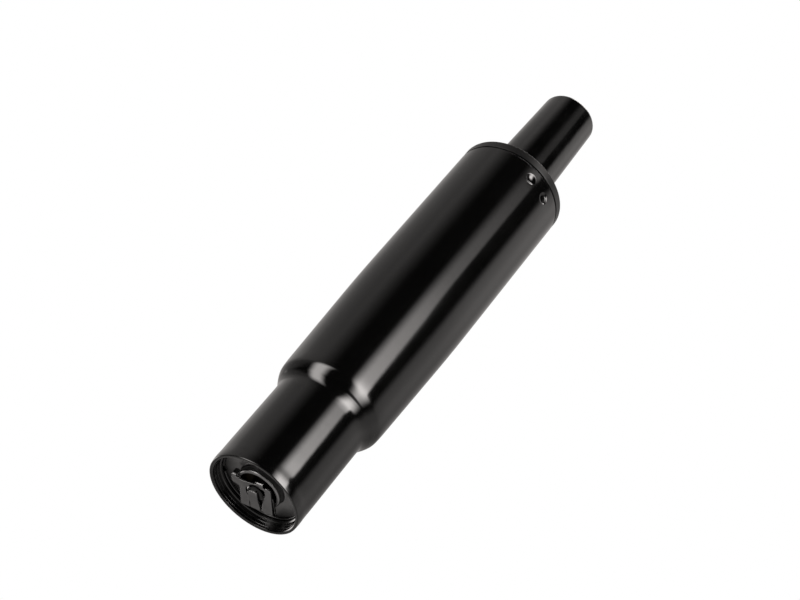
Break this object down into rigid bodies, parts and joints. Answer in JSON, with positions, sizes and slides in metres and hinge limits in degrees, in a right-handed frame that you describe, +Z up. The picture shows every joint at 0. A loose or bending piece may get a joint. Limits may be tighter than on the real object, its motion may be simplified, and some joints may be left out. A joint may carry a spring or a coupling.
{
  "type": "chair gas lift cylinder",
  "caption": "Height-adjusting gas spring column for a swivel chair: tapered outer tube with guide bushing, thrust bearing and clip at its foot, sliding tapered pressure tube and release button.",
  "frame": {"origin": "centre of the column's bottom rim, the lowest plane of the part", "axes": "+Z up along the common axis of column, rod and pressure tube, toward the seat end; +X and +Y across it"},
  "size_m": [0.05, 0.05, 0.2638],
  "materials": {
    "column_enamel": "gloss black stove enamel over steel tube",
    "tube_enamel": "satin black powder coat over steel tube",
    "bushing_plastic": "matt black glass-filled plastic",
    "plate_steel": "drawn steel, grey phosphate",
    "spring_steel": "satin grey spring steel",
    "wire_steel": "dark oiled spring wire",
    "sintered_bronze": "sintered bronze",
    "bearing_steel": "ground bearing steel",
    "ball_steel": "polished balls",
    "cage_plastic": "natural nylon",
    "bumper_urethane": "amber urethane",
    "rod_chrome": "hard chrome, polished",
    "rod_seal_rubber": "black nitrile",
    "piston_alloy": "machined",
    "ptfe_band": "bronze-filled ptfe",
    "bare_steel": "drawn tube, oiled",
    "valve_polymer": "acetal, natural",
    "pin_steel": "ground pin",
    "plug_steel": "turned steel, black oxide",
    "button_steel": "turned steel, zinc plated"
  },
  "bodies": {
    "column": {"column_tube": "column_enamel", "guide_bushing": "bushing_plastic", "base_plate": "plate_steel", "plate_retaining_ring": "wire_steel", "rod_bush": "sintered_bronze", "lower_race": "bearing_steel"},
    "bearing": {"bearing_cage": "cage_plastic", "bearing_balls": "ball_steel"},
    "rod": {"piston_rod": "rod_chrome", "retaining_clip": "spring_steel", "upper_race": "bearing_steel", "support_washer": "bearing_steel", "bump_stop": "bumper_urethane", "piston": "piston_alloy", "piston_seal": "rod_seal_rubber", "piston_guide_ring": "ptfe_band", "piston_nut": "pin_steel"},
    "cylinder": {"pressure_tube": "tube_enamel", "inner_tube": "bare_steel", "rod_guide": "piston_alloy", "rod_seal": "rod_seal_rubber", "seal_spacer": "bare_steel", "valve_body": "valve_polymer", "valve_seals": "rod_seal_rubber", "end_plug": "plug_steel"},
    "button": {"release_button": "button_steel", "valve_pin": "pin_steel"}
  },
  "joints": [
    {"name": "seat_swivel", "type": "hinge", "parent": "column", "child": "rod", "pos_m": [0, 0, 0.012], "axis": [0, 0, 1], "continuous": true},
    {"name": "bearing_orbit", "type": "hinge", "parent": "column", "child": "bearing", "pos_m": [0, 0, 0.0139], "axis": [0, 0, 1], "continuous": true},
    {"name": "height_slide", "type": "slide", "parent": "rod", "child": "cylinder", "axis": [0, 0, 1], "range_m": [0, 0.1]},
    {"name": "button_press", "type": "slide", "parent": "cylinder", "child": "button", "axis": [0, 0, -1], "range_m": [0, 0.003], "stiffness_N_per_m": 1000, "springref_m": -0.004}
  ],
  "couplings": [
    {"joint": "bearing_orbit", "follows": "seat_swivel", "ratio": 0.5}
  ]
}
